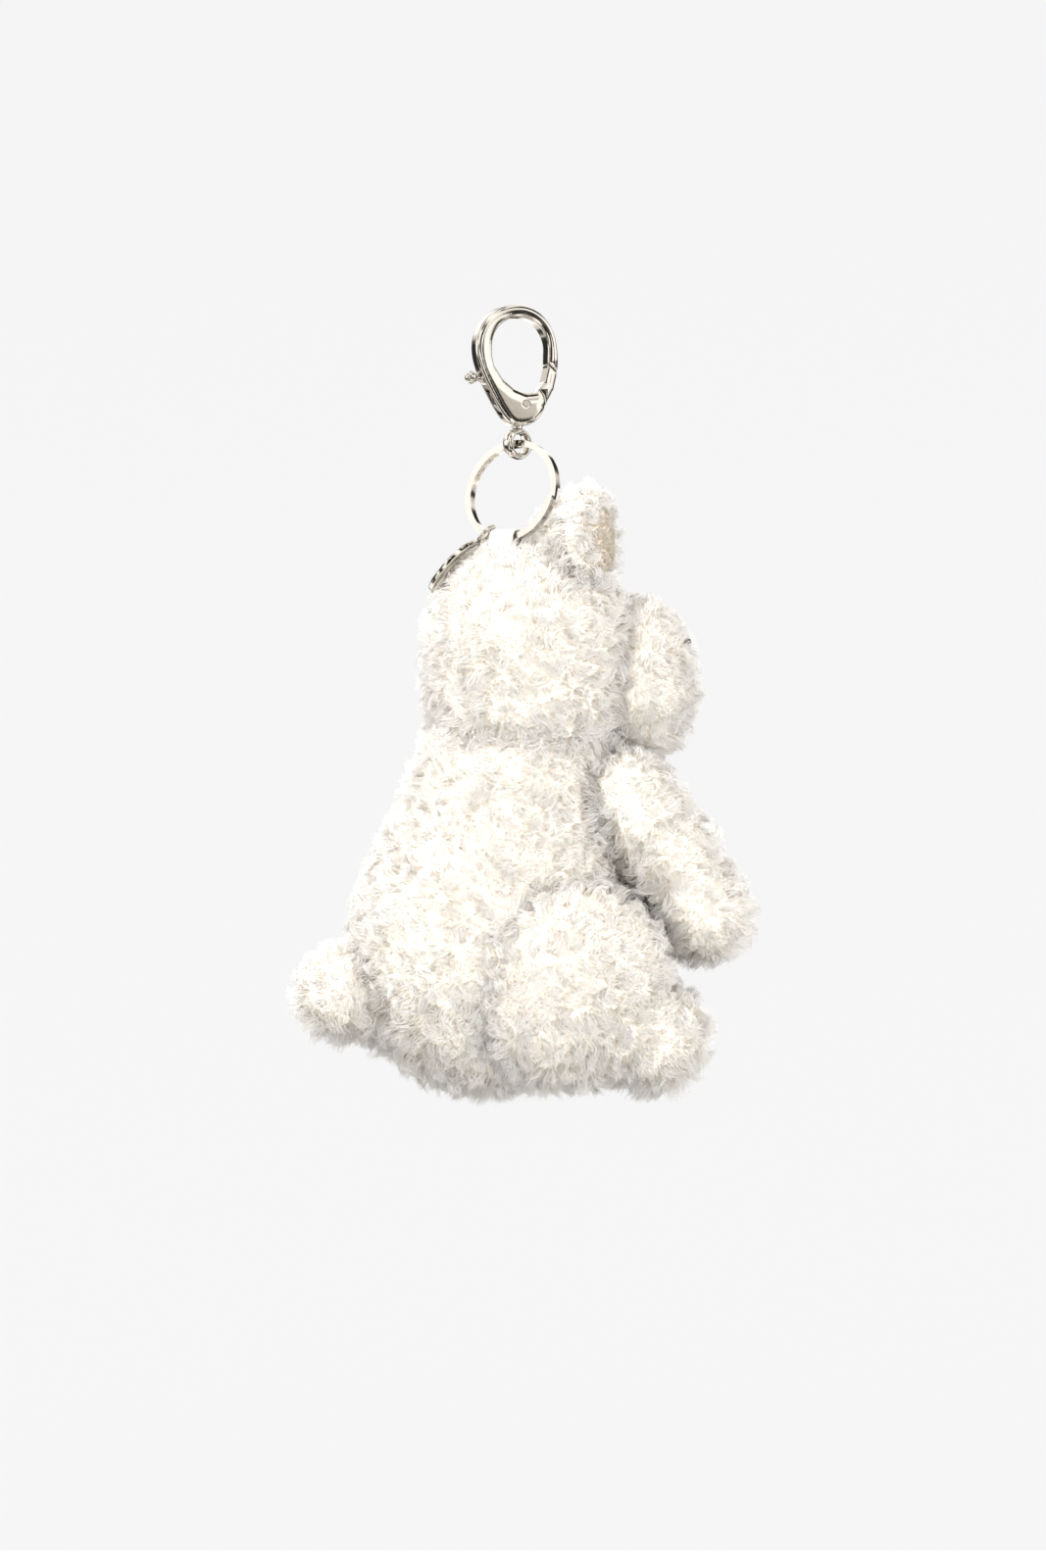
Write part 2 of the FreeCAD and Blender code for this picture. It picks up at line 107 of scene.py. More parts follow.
def arm_form(side):
    def form(p):
        elbow = (33.0, MID + side * 13.2, -127.0)
        upper = limb(p, (22.8, MID + side * 12.5, -112.5), 9.4, elbow, 9.4)
        lower = limb(p, elbow, 9.0, (41.2, MID + side * 12.8, -140.6), 9.2)
        return join(upper, lower, 2)
    return form


def tail_form(p):
    return limb(p, (-33.0, MID, -161.5), 7.8, (-42.0, MID, -158.8), 9.2)


def ear_centre(side):
    return np.array([13.9, MID + side * 13.0, -52.6])


def ear_axes(side):
    """The way an ear faces, then its width and its height."""
    turn = math.radians(side * EAR_TURN)
    lean = math.radians(-side * EAR_LEAN)
    face = np.array([math.cos(turn), math.sin(turn), 0.0])
    across = np.array([-math.sin(turn), math.cos(turn), 0.0])
    wide = across * math.cos(lean) + np.array([0, 0, math.sin(lean)])
    tall = np.cross(face, wide)
    return face, wide, tall


def ear_form(side, half=(3.3, 8.3, 10.6), shift=0.0):
    face, wide, tall = ear_axes(side)
    middle = ear_centre(side) + face * shift

    def form(p):
        q = p - middle
        local = np.stack([q @ face, q @ wide, q @ tall], axis=1)
        cupped = local.copy()
        cupped[:, 0] += EAR_CUP * local[:, 1] ** 2 - EAR_SET_BACK
        return oval(cupped, (0, 0, 0), half)
    return form


def steepest(form, p, step=0.05):
    """Unit directions in which a form grows fastest."""
    g = np.stack([form(p + step * e) - form(p - step * e) for e in np.eye(3)], axis=1)
    return g / (np.linalg.norm(g, axis=1, keepdims=True) + 1e-9)


# ---------------------------------------------------------------- mesh helpers

def new_mesh(name, points, faces, smooth=True):
    """A mesh object from points in mm and an equal-sided face array."""
    mesh = bpy.data.meshes.new(name)
    faces = np.asarray(faces, np.int32)
    count, sides = faces.shape
    mesh.vertices.add(len(points))
    mesh.vertices.foreach_set("co", (np.asarray(points) * MM).astype(np.float32).ravel())
    mesh.loops.add(count * sides)
    mesh.loops.foreach_set("vertex_index", faces.ravel())
    mesh.polygons.add(count)
    mesh.polygons.foreach_set("loop_start", np.arange(count, dtype=np.int32) * sides)
    mesh.polygons.foreach_set("use_smooth", np.full(count, smooth))
    mesh.update(calc_edges=True)
    obj = bpy.data.objects.new(name, mesh)
    bpy.context.scene.collection.objects.link(obj)
    return obj


def unit_ball(level):
    bpy.ops.mesh.primitive_ico_sphere_add(subdivisions=level, radius=1)
    obj = bpy.context.object
    p = np.array([v.co for v in obj.data.vertices])
    f = np.array([f.vertices[:] for f in obj.data.polygons])
    bpy.data.objects.remove(obj)
    return p / np.linalg.norm(p, axis=1, keepdims=True), f


BALL_POINTS, BALL_FACES = unit_ball(6)
COARSE_POINTS, COARSE_FACES = unit_ball(5)


def wave_noise(p, scale, seed, waves=7):
    """Smooth noise from a few sine waves in random directions."""
    rng = np.random.default_rng(seed)
    total = np.zeros(len(p))
    for _ in range(waves):
        d = rng.normal(size=3)
        d /= np.linalg.norm(d)
        total += np.sin(p @ d * (2 * math.pi / scale) * rng.uniform(0.6, 1.5) + rng.uniform(0, 6.3))
    return total / waves


def skin(form, centre, points, reach=48.0, steps=120, halvings=14):
    """Where rays from a centre last leave a form."""
    c = np.array(centre, float)
    low = np.zeros(len(points))
    for t in np.linspace(0, reach, steps):
        low = np.where(form(c + points * t) < 0, t, low)
    high = low + reach / (steps - 1)
    for _ in range(halvings):
        middle = (low + high) / 2
        inside = form(c + points * middle[:, None]) < 0
        low = np.where(inside, middle, low)
        high = np.where(inside, high, middle)
    return c + points * low[:, None]


# ---------------------------------------------------------------- materials

def material(name):
    m = bpy.data.materials.new(name)
    m.use_nodes = True
    tree = m.node_tree
    return m, tree, tree.nodes["Principled BSDF"]


def link(tree, a, b):
    tree.links.new(a, b)


def ramp(tree, value, stops):
    node = tree.nodes.new("ShaderNodeValToRGB")
    while len(node.color_ramp.elements) < len(stops):
        node.color_ramp.elements.new(0.5)
    for element, (position, colour) in zip(node.color_ramp.elements, stops):
        element.position = position
        element.color = (*colour, 1)
    link(tree, value, node.inputs["Fac"])
    return node.outputs["Color"]


def noise(tree, scale, detail=3.0):
    where = tree.nodes.new("ShaderNodeTexCoord")
    node = tree.nodes.new("ShaderNodeTexNoise")
    node.inputs["Scale"].default_value = scale
    node.inputs["Detail"].default_value = detail
    link(tree, where.outputs["Object"], node.inputs["Vector"])
    return node.outputs["Fac"]


def mixed(tree, factor, a, b, how="MIX"):
    node = tree.nodes.new("ShaderNodeMix")
    node.data_type = "RGBA"
    node.blend_type = how
    for socket, value in ((node.inputs["Factor"], factor), (node.inputs["A"], a), (node.inputs["B"], b)):
        if isinstance(value, (int, float)):
            socket.default_value = value
        elif isinstance(value, tuple):
            socket.default_value = (*value, 1)
        else:
            link(tree, value, socket)
    return node.outputs["Result"]


def bumped(tree, shader, height, strength, distance):
    node = tree.nodes.new("ShaderNodeBump")
    node.inputs["Strength"].default_value = strength
    node.inputs["Distance"].default_value = distance
    link(tree, height, node.inputs["Height"])
    link(tree, node.outputs["Normal"], shader.inputs["Normal"])


THROUGH_SHARE = 0.55


def fur_material(name, shaded_root, tip):
    """Pile: part of the light passes through each strand; each strand is painted darker towards its root,
    as painted shade deep in the pile.
    """
    m, tree, shader = material(name)
    along = tree.nodes.new("ShaderNodeAttribute")
    along.attribute_name = "along"
    # Painted shade: the root colour is darker than the tip colour, standing in for shade deep in the
    # pile.
    root_shade = ramp(tree, along.outputs["Fac"], [(0.0, shaded_root), (0.5, tip), (1.0, tip)])
    patch = ramp(tree, noise(tree, 150.0, 2.0), [(0.3, (0.965, 0.95, 0.925)), (0.7, (1, 1, 1))])
    colour = mixed(tree, 1.0, root_shade, patch, "MULTIPLY")
    link(tree, colour, shader.inputs["Base Color"])
    shader.inputs["Roughness"].default_value = 0.85
    shader.inputs["Specular IOR Level"].default_value = 0.2
    through = tree.nodes.new("ShaderNodeBsdfTranslucent")
    link(tree, colour, through.inputs["Color"])
    blend = tree.nodes.new("ShaderNodeMixShader")
    blend.inputs["Fac"].default_value = THROUGH_SHARE
    link(tree, shader.outputs["BSDF"], blend.inputs[1])
    link(tree, through.outputs["BSDF"], blend.inputs[2])
    link(tree, blend.outputs["Shader"], tree.nodes["Material Output"].inputs["Surface"])
    return m


def cloth_material(name, low, high, scale, depth):
    m, tree, shader = material(name)
    grain = noise(tree, scale, 5.0)
    link(tree, ramp(tree, grain, [(0.3, low), (0.7, high)]), shader.inputs["Base Color"])
    shader.inputs["Roughness"].default_value = 0.9
    shader.inputs["Sheen Weight"].default_value = 0.3
    bumped(tree, shader, grain, 0.6, depth)
    return m


def metal_material(name, colour, rough):
    m, tree, shader = material(name)
    cloud = noise(tree, 420.0, 4.0)
    tint = tuple(c * 0.93 for c in colour)
    link(tree, ramp(tree, cloud, [(0.35, tint), (0.65, colour)]), shader.inputs["Base Color"])
    shader.inputs["Metallic"].default_value = 1.0
    spread = tree.nodes.new("ShaderNodeMapRange")
    spread.inputs["To Min"].default_value = rough * 0.6
    spread.inputs["To Max"].default_value = rough * 1.5
    link(tree, noise(tree, 1500.0, 4.0), spread.inputs["Value"])
    link(tree, spread.outputs["Result"], shader.inputs["Roughness"])
    bumped(tree, shader, noise(tree, 900.0, 3.0), 0.05, 0.00005)
    return m


def ribbon_material():
    m, tree, shader = material("ribbon_weave")
    where = tree.nodes.new("ShaderNodeUVMap")
    waves = []
    for direction, scale in (("X", 9.0), ("Y", 40.0)):
        node = tree.nodes.new("ShaderNodeTexWave")
        node.bands_direction = direction
        node.inputs["Scale"].default_value = scale
        node.inputs["Distortion"].default_value = 0.6
        link(tree, where.outputs["UV"], node.inputs["Vector"])
        waves.append(node.outputs["Fac"])
    weave = tree.nodes.new("ShaderNodeMath")
    weave.operation = "MULTIPLY"
    link(tree, waves[0], weave.inputs[0])
    link(tree, waves[1], weave.inputs[1])
    colour = ramp(tree, weave.outputs[0], [(0.0, (0.54, 0.50, 0.43)), (0.8, (0.74, 0.70, 0.63))])
    link(tree, colour, shader.inputs["Base Color"])
    shader.inputs["Roughness"].default_value = 0.6
    shader.inputs["Sheen Weight"].default_value = 0.3
    bumped(tree, shader, weave.outputs[0], 0.7, 0.0001)
    return m


def plastic_material(name, colour):
    m, tree, shader = material(name)
    cloud = noise(tree, 700.0, 3.0)
    lighter = tuple(min(1, c * 1.25) for c in colour)
    link(tree, ramp(tree, cloud, [(0.4, colour), (0.6, lighter)]), shader.inputs["Base Color"])
    shader.inputs["Roughness"].default_value = 0.12
    shader.inputs["Coat Weight"].default_value = 0.5
    return m


# The first colour is the root, darkened with painted shade deep in the pile; the second is the pile's own
# tip colour.
CREAM_FUR = fur_material("cream_pile", (0.93, 0.89, 0.82), (0.988, 0.973, 0.95))
TAN_FUR = fur_material("tan_pile", (0.70, 0.62, 0.52), (0.88, 0.82, 0.73))
BACKING = cloth_material("cream_backing", (0.86, 0.80, 0.70), (0.95, 0.91, 0.84), 900.0, 0.0004)
TAN_BACKING = cloth_material("tan_backing", (0.48, 0.40, 0.31), (0.66, 0.57, 0.47), 900.0, 0.0003)
NICKEL = metal_material("polished_nickel", (0.80, 0.77, 0.72), 0.07)
SPRING = metal_material("spring_wire", (0.62, 0.62, 0.62), 0.25)
BLACK = plastic_material("black_gloss", (0.02, 0.017, 0.015))
THREAD = cloth_material("sewing_thread", (0.78, 0.73, 0.64), (0.93, 0.90, 0.83), 3000.0, 0.0001)


def dress(obj, mat):
    obj.data.materials.clear()
    obj.data.materials.append(mat)


# ---------------------------------------------------------------- fur

EYES = [np.array([2.4 + 16.2, MID + s * 5.8, -64.0]) for s in (-1, 1)]
NOSE = np.array([39.2, MID, -77.0])
EYE_CLEAR = 2.6
NOSE_CLEAR = np.array([3, 4.2, 3.2])
HIDDEN_DEPTH = 1.6
HIDDEN_DEPTH_ARM = 3.0

SOFT_SHADE = 0.62
SOFT_LEAN = 0.55
STRAND_STEPS = 6
STRAND_R = 0.098
ROOT_DEPTH = 0.3
TIP_SHARE = 0.3
TUFT_LEAN = (0.25, 0.95)
TUFT_GROW = (0.72, 1.28)
TUFT_TURNS = (0.45, 1.15)
TUFT_PULL = (0.12, 0.72)
STRAND_GROW = (0.7, 1.12)
DROOP = 0.18
BOW = 0.28
LEAN_SHARE = 0.6
STRAY = 0.2
TAG_CLEAR_R = 9.0
TAG_CLEAR = 0.9
# A strand has 28 triangles, so a piece of MOST_STRANDS strands has under 200,000.
MOST_STRANDS = 6900
NEAREST_BATCH = 4000
LINING_HALF = (2.9, 6.6, 8.4)
LINING_SHIFT = 0.9


def strand_mesh(name, paths, widths, spin, soft, mat, body):
    """Closed three-sided tapering strands along paths (strand, step, xyz).

    Their shading normals are turned part of the way to a soft direction.
    """
    many, steps, _ = paths.shape
    tangent = np.gradient(paths, axis=1)
    tangent /= np.linalg.norm(tangent, axis=2, keepdims=True) + 1e-9
    side = np.cross(tangent, spin[:, None, :])
    side /= np.linalg.norm(side, axis=2, keepdims=True) + 1e-9
    other = np.cross(tangent, side)
    rings = []
    for k in range(3):
        a = 2 * math.pi * k / 3
        rings.append(paths + widths[:, :, None] * (side * math.cos(a) + other * math.sin(a)))
    ring = np.stack(rings, axis=2)[:, :-1]
    body_points = ring.reshape(many, (steps - 1) * 3, 3)
    points = np.concatenate([body_points, paths[:, -1:, :]], axis=1)
    per = (steps - 1) * 3 + 1
    faces = [(0, 2, 1)]
    for s in range(steps - 2):
        for k in range(3):
            a, b = s * 3 + k, s * 3 + (k + 1) % 3
            faces.append((a, b, b + 3))
            faces.append((a, b + 3, a + 3))
    for k in range(3):
        faces.append(((steps - 2) * 3 + k, (steps - 2) * 3 + (k + 1) % 3, per - 1))
    faces = np.array(faces)
    all_faces = (faces[None] + (np.arange(many) * per)[:, None, None]).reshape(-1, 3)
    obj = new_mesh(name, points.reshape(-1, 3), all_faces)
    level = np.repeat(np.arange(steps - 1) / (steps - 1), 3)
    level = np.append(level, 1.0)
    along = obj.data.attributes.new("along", "FLOAT", "POINT")
    along.data.foreach_set("value", np.tile(level, many).astype(np.float32))
    uv = obj.data.uv_layers.new(name="OFBake")
    u = np.repeat(np.random.default_rng(5).uniform(0.02, 0.98, many), len(faces) * 3)
    v = np.tile(level[faces.ravel()], many)
    uv.data.foreach_set("uv", np.stack([u, 0.02 + 0.96 * v], axis=1).astype(np.float32).ravel())
    own = np.concatenate([(ring - paths[:, :-1, None]).reshape(many, -1, 3), tangent[:, -1:]], axis=1)
    own /= np.linalg.norm(own, axis=2, keepdims=True) + 1e-9
    shade = own * (1 - SOFT_SHADE) + soft[:, None] * SOFT_SHADE
    shade /= np.linalg.norm(shade, axis=2, keepdims=True) + 1e-9
    obj.data.normals_split_custom_set_from_vertices(shade.reshape(-1, 3))
    dress(obj, mat)
    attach(obj, body)


def scatter(form, points, faces, density, rng, keep):
    """Random kept points on a mesh, with the form's directions there."""
    tri = points[faces]
    area = np.linalg.norm(np.cross(tri[:, 1] - tri[:, 0], tri[:, 2] - tri[:, 0]), axis=1) / 2
    many = int(area.sum() * density)
    pick = rng.choice(len(area), many, p=area / area.sum())
    a, b = rng.random(many), rng.random(many)
    over = a + b > 1
    a[over], b[over] = 1 - a[over], 1 - b[over]
    t = tri[pick]
    p = t[:, 0] + a[:, None] * (t[:, 1] - t[:, 0]) + b[:, None] * (t[:, 2] - t[:, 0])
    n = steepest(form, p)
    ok = keep(p, n)
    return p[ok], n[ok]


def nearest(p, centres):
    found = np.empty(len(p), int)
    for start in range(0, len(p), NEAREST_BATCH):
        part = p[start:start + NEAREST_BATCH]
        d = ((part[:, None] - centres[None]) ** 2).sum(2)
        found[start:start + NEAREST_BATCH] = d.argmin(1)
    return found


def fur(name, body, form, points, faces, seed, keep,
        length=5.0, density=3.7, clump=0.13, mat=None, curl=0.8):
    """Curly clumped pile over a skin, split into pieces of at most MOST_STRANDS."""
    rng = np.random.default_rng(seed)
    p, n = scatter(form, points, faces, density, rng, keep)
    tuft_p, tuft_n = scatter(form, points, faces, clump, rng, lambda a, b: np.ones(len(a), bool))
    tufts = len(tuft_p)
    lean = rng.normal(size=(tufts, 3))
    lean -= (lean * tuft_n).sum(1, keepdims=True) * tuft_n
    lean /= np.linalg.norm(lean, axis=1, keepdims=True)
    lean *= rng.uniform(*TUFT_LEAN, (tufts, 1))
    lean[:, 2] -= DROOP
    grow = rng.uniform(*TUFT_GROW, tufts)
    phase = rng.uniform(0, 2 * math.pi, tufts)
    turns = rng.uniform(*TUFT_TURNS, tufts) * rng.choice([-1, 1], tufts)
    own = nearest(p, tuft_p)
    t = np.linspace(0, 1, STRAND_STEPS)[None, :, None]
    s = t[0, :, 0]
    tall = (length * grow[own] * rng.uniform(*STRAND_GROW, len(p)))[:, None, None]
    rise = t - BOW * t * t
    path = p[:, None] + tall * (n[:, None] * rise + lean[own][:, None] * LEAN_SHARE * t * t)
    tuft_tall = (length * grow[own])[:, None, None]
    axis = tuft_n[own][:, None] * rise + lean[own][:, None] * LEAN_SHARE * t * t
    axis = tuft_p[own][:, None] + tuft_tall * axis
    pull = rng.uniform(*TUFT_PULL, len(p))[:, None, None] * t ** 1.3
    path = path + pull * (axis - path)
    e1 = np.cross(n, lean[own] + 1e-6)
    e1 /= np.linalg.norm(e1, axis=1, keepdims=True) + 1e-9
    e2 = np.cross(n, e1)
    angle = (phase[own] + rng.normal(0, 0.5, len(p)))[:, None] + (turns[own] * 2 * math.pi)[:, None] * s
    radius = curl * rng.uniform(0.6, 1.4, len(p))[:, None] * s ** 0.8
    around = np.cos(angle)[:, :, None] * e1[:, None] + np.sin(angle)[:, :, None] * e2[:, None]
    path += radius[:, :, None] * around
    path += rng.normal(0, STRAY, path.shape) * t
    path[:, 0] = p - n * ROOT_DEPTH
    gap = (path - TAG_CENTRE) @ TAG_FACE
    in_disc = np.linalg.norm(path - TAG_CENTRE - gap[:, :, None] * TAG_FACE, axis=2) < TAG_CLEAR_R
    hits = (in_disc & (gap < TAG_CLEAR)).any(1)
    path, n, own = path[~hits], n[~hits], own[~hits]
    soft = n + SOFT_LEAN * lean[own]
    taper = np.linspace(1, TIP_SHARE, STRAND_STEPS)[None]
    wide = (STRAND_R * rng.uniform(0.7, 1.3, len(path)))[:, None] * taper
    spin = rng.normal(size=(len(path), 3))
    order = rng.permutation(len(path))
    parts = max(1, math.ceil(len(path) / MOST_STRANDS))
    for k in range(parts):
        pick = order[k::parts]
        strand_mesh(f"{name}_{k + 1}", path[pick], wide[pick], spin[pick], soft[pick],
                    mat or CREAM_FUR, body)


# (name, body, form, centre of the rays, nodes it stands for)
soft_parts = [
    ("head", "head", head_form, (2.0, MID, -82.0), ["head_cover", "head_stuffing"]),
    ("muzzle", "head", muzzle_form, (27.3, MID, -85.5), ["muzzle_cover", "muzzle_stuffing"]),
    ("torso", "torso", torso_form, (-5.0, MID, -138.0), ["torso_cover", "torso_stuffing"]),
    ("tail", "tail", tail_form, (-38.5, MID, -160.0), ["tail_cover", "tail_stuffing"]),
]
for word, sign in SIDES.items():
    soft_parts.append((f"leg_{word}", f"leg_{word}", leg_form(sign), (16.0, MID + sign * 19.0, -160.5),
                       [f"leg_cover_{word}", f"leg_stuffing_{word}"]))
    soft_parts.append((f"arm_{word}", f"arm_{word}", arm_form(sign), (33.0, MID + sign * 13.0, -127.0),
                       [f"arm_cover_{word}", f"arm_stuffing_{word}"]))
    soft_parts.append((f"ear_{word}", f"ear_{word}", ear_form(sign), ear_centre(sign), [f"ear_{word}"]))
FORMS = {name: form for name, _, form, _, _ in soft_parts}


def shown(name):
    """Keeps roots that no other soft part hides, away from the eyes and the nose."""
    def keep(p, n):
        ok = np.ones(len(p), bool)
        for other, form in FORMS.items():
            if other != name:
                ok &= form(p) > -(HIDDEN_DEPTH_ARM if "arm" in name + other else HIDDEN_DEPTH)
        for eye in EYES:
            ok &= np.linalg.norm(p - eye, axis=1) > EYE_CLEAR
        ok &= np.linalg.norm((p - NOSE) / NOSE_CLEAR, axis=1) > 1
        return ok
    return keep


for number, (name, body, form, centre, nodes) in enumerate(soft_parts):
    small = "ear" in name or name == "tail"
    dirs, faces = (COARSE_POINTS, COARSE_FACES) if small else (BALL_POINTS, BALL_FACES)
    points = skin(form, centre, dirs)
    normals = steepest(form, points)
    lumps = 0.35 * wave_noise(points, 9.0, number) + 0.18 * wave_noise(points, 3.2, number + 50)
    base = new_mesh(name + "_skin", points + normals * (lumps - 0.2)[:, None], faces)
    dress(base, BACKING)
    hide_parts(*nodes)
    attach(base, body)
    visible = shown(name)
    if "ear" in name:
        sign = SIDES[name.split("_")[1]]
        face, wide, tall = ear_axes(sign)

        def keep(p, n, visible=visible, face=face, wide=wide, tall=tall, sign=sign):
            q = p - ear_centre(sign)
            inside = ((q @ wide) / 5.0) ** 2 + ((q @ tall + 0.6) / 7.4) ** 2 < 1
            return visible(p, n) & ~(inside & (n @ face > 0.2))
        fur(name + "_pile", body, form, points, faces, 100 + number, keep,
            length=4.6, density=5.0, clump=0.16)
        lining = ear_form(sign, LINING_HALF, LINING_SHIFT)
        lining_points = skin(lining, ear_centre(sign) + face * LINING_SHIFT, COARSE_POINTS)
        inner = new_mesh(f"{name}_lining_skin", lining_points, COARSE_FACES)
        dress(inner, TAN_BACKING)
        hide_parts(f"ear_lining_{name.split('_')[1]}")
        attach(inner, body)

        def front(p, n, face=face):
            return n @ face > 0.1
        fur(f"{name}_lining_pile", body, lining, lining_points, COARSE_FACES, 200 + number, front,
            length=1.5, density=7.0, clump=0.5, mat=TAN_FUR, curl=0.2)
    else:
        fur(name + "_pile", body, form, points, faces, 100 + number, visible)


# ---------------------------------------------------------------- ribbon

def ribbon():
    """A woven strip over the ring's wire, with both ends down in the pile."""
    inner, thick, half, drop, splay = 2.0, 0.5, 3.25, 6.0, 0.05
    down = np.linspace(-drop, 0.0, 16)
    arc = np.linspace(math.pi, 0, 28)
    line = [(-inner - splay, z) for z in down[:-1]]
    line += [(inner * math.cos(a), inner * math.sin(a)) for a in arc]
    line += [(inner + splay, z) for z in down[::-1][1:]]
    line = np.array(line)
    tangent = np.gradient(line, axis=0)
    tangent /= np.linalg.norm(tangent, axis=1, keepdims=True)
    out = np.stack([-tangent[:, 1], tangent[:, 0]], axis=1)
    across = np.linspace(-half, half, 15)
    rows, cols = len(line), len(across)
    length = np.append(0, np.cumsum(np.linalg.norm(np.diff(line, axis=0), axis=1)))
    layers = []
    for lift in (0.0, thick):
        spread = line + out * lift
        ripple = 0.06 * np.sin(length * 1.7)[:, None] * np.cos(across * 1.1)[None]
        side = spread[:, 0][:, None] + out[:, 0][:, None] * ripple
        tall = spread[:, 1][:, None] + out[:, 1][:, None] * ripple
        grid = RING_BOTTOM + side[..., None] * RING_SIDE + tall[..., None] * np.array([0, 0, 1.0])
        grid = grid + across[None, :, None] * RING_ALONG
        layers.append(grid.reshape(-1, 3))
    points = np.concatenate(layers)
    size = rows * cols
    faces = []
    for i in range(rows - 1):
        for j in range(cols - 1):
            a = i * cols + j
            faces.append((a, a + cols, a + cols + 1, a + 1))
            faces.append((size + a, size + a + 1, size + a + cols + 1, size + a + cols))
    for i in range(rows - 1):
        a, b = i * cols, i * cols + cols - 1
        faces.append((a, size + a, size + a + cols, a + cols))
        faces.append((b, b + cols, size + b + cols, size + b))
    for j in range(cols - 1):
        a, b = j, (rows - 1) * cols + j
        faces.append((a, a + 1, size + a + 1, size + a))
        faces.append((b, size + b, size + b + 1, b + 1))
    obj = new_mesh("ribbon", points, faces)
    uv = obj.data.uv_layers.new(name="weave")
    u = np.tile(np.tile(across / (2 * half) + 0.5, rows), 2)
    v = np.tile(np.repeat(length / length[-1], cols), 2)
    index = np.array(faces).ravel()
    uv.data.foreach_set("uv", np.stack([u[index], v[index]], axis=1).astype(np.float32).ravel())
    dress(obj, ribbon_material())
    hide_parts("ribbon_loop")
    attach(obj, "head")


ribbon()

# ---------------------------------------------------------------- metal and carried nodes

CLASP_AXIS = np.array([0.2079, -0.9781, 0.0])
GATE_PIVOT = np.array([1.125, 0.239, -20.4])
DOME_FROM = 1.1
DOME_REACH = 2.6
EDGE_THICKNESS = 0.3
PIN_CLEAR = 1.7
WALL_SLANT = 0.3
WALL_OUTER = 0.72


def dome(obj):
    """Thins a flat cast piece towards its outline, so its faces are rounded over."""
    count = len(obj.data.vertices)
    p = np.empty(count * 3)
    obj.data.vertices.foreach_get("co", p)
    p = p.reshape(-1, 3) / MM
    n = np.empty(count * 3)
    obj.data.vertices.foreach_get("normal", n)
    u = p @ CLASP_AXIS
    wall = np.abs(n.reshape(-1, 3) @ CLASP_AXIS) < WALL_SLANT
    wall &= np.abs(u) > WALL_OUTER * np.abs(u).max()
    flat = p - u[:, None] * CLASP_AXIS
    wall &= np.linalg.norm(flat - GATE_PIVOT, axis=1) > PIN_CLEAR
    tree = KDTree(int(wall.sum()))
    for k, point in enumerate(flat[wall]):
        tree.insert(point, k)
    tree.balance()
    high = np.abs(u) > DOME_FROM
    for k in np.nonzero(high)[0]:
        near = min(tree.find(flat[k])[2] / DOME_REACH, 1.0)
        rise = EDGE_THICKNESS + (1 - EDGE_THICKNESS) * math.sqrt(1 - (1 - near) ** 2)
        u[k] = math.copysign(DOME_FROM + (abs(u[k]) - DOME_FROM) * rise, u[k])
    obj.data.vertices.foreach_set("co", ((flat + u[:, None] * CLASP_AXIS) * MM).ravel())
    obj.data.update()


def cast_piece(name, size, rounds, body):
    """A copy of a cast piece with its edges rounded: remeshed finely and relaxed."""
    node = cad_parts[name]
    obj = bpy.data.objects.new(name + "_cast", node.data.copy())
    bpy.context.scene.collection.objects.link(obj)
    bpy.context.view_layer.objects.active = obj
    for kind, values in (("REMESH", {"mode": "VOXEL", "voxel_size": size * MM, "use_smooth_shade": True}),
                         ("SMOOTH", {"factor": 0.5, "iterations": rounds})):
        step = obj.modifiers.new(kind, kind)
        for key, value in values.items():
            setattr(step, key, value)
        bpy.ops.object.modifier_apply(modifier=step.name)
    if body in ("clasp", "gate"):
        dome(obj)
    dress(obj, NICKEL)
    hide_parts(name)
    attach(obj, body)


cast_piece("clasp_body", 0.13, 20, "clasp")
cast_piece("gate_lever", 0.1, 8, "gate")
cast_piece("swivel_eye", 0.08, 16, "swivel")


def tag_disc():
    """The blank tag, turned finely: a thin web inside a rounded raised rim."""
    radius, rim_half, rim_wide, web_half, fillet = 8.2, 0.65, 0.8, 0.45, 0.3
    inner = radius - rim_wide
    top = [(0.0, web_half), (inner * 0.5, web_half), (inner - 0.12, web_half), (inner, web_half + 0.1)]
    top += [(inner, rim_half - 0.1), (inner + 0.1, rim_half)]
    top += [(radius - fillet + fillet * math.sin(a), rim_half - fillet + fillet * math.cos(a))
            for a in np.linspace(0, math.pi / 2, 7)]
    profile = top + [(x, -z) for x, z in top[::-1]]
    turns, rows = 240, len(profile)
    side = np.cross(TAG_FACE, (0, 0, 1))
    side /= np.linalg.norm(side)
    other = np.cross(TAG_FACE, side)
    points, faces = [], []
    for k in range(turns):
        a = 2 * math.pi * k / turns
        way = side * math.cos(a) + other * math.sin(a)
        points += [TAG_CENTRE + way * max(x, 0.001) + TAG_FACE * z for x, z in profile]
    for k in range(turns):
        for j in range(rows - 1):
            a, b = k * rows + j, (k + 1) % turns * rows + j
            faces.append((a, a + 1, b + 1, b))
    obj = new_mesh("tag_disc_turned", np.array(points), faces)
    obj.data.set_sharp_from_angle(angle=math.radians(50))
    dress(obj, NICKEL)
    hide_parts("tag_disc")
    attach(obj, "tag")


tag_disc()

finishes = {
    NICKEL: ["gate_pin", "split_ring", "tag_bail"],
    SPRING: ["gate_spring"],
    BLACK: ["eye_left", "eye_right", "nose"],
    THREAD: ["ribbon_stitches"],
    BACKING: ["eye_washer_left", "eye_washer_right", "nose_washer"],
}
for mat, names in finishes.items():
    for name in names:
        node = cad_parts[name]
        dress(node, mat)
        node.data.polygons.foreach_set("use_smooth", np.full(len(node.data.polygons), True))
        node.data.set_sharp_from_angle(angle=math.radians(35))


# ---------------------------------------------------------------- stage, light and camera

STAGE_CENTRE = TO_RIGHT * 0.0013 + np.array([0, 0, -0.1101])
CAMERA_AWAY = 0.8745
FLOOR_GLOW = 0.765
ROOM_R = 2600.0


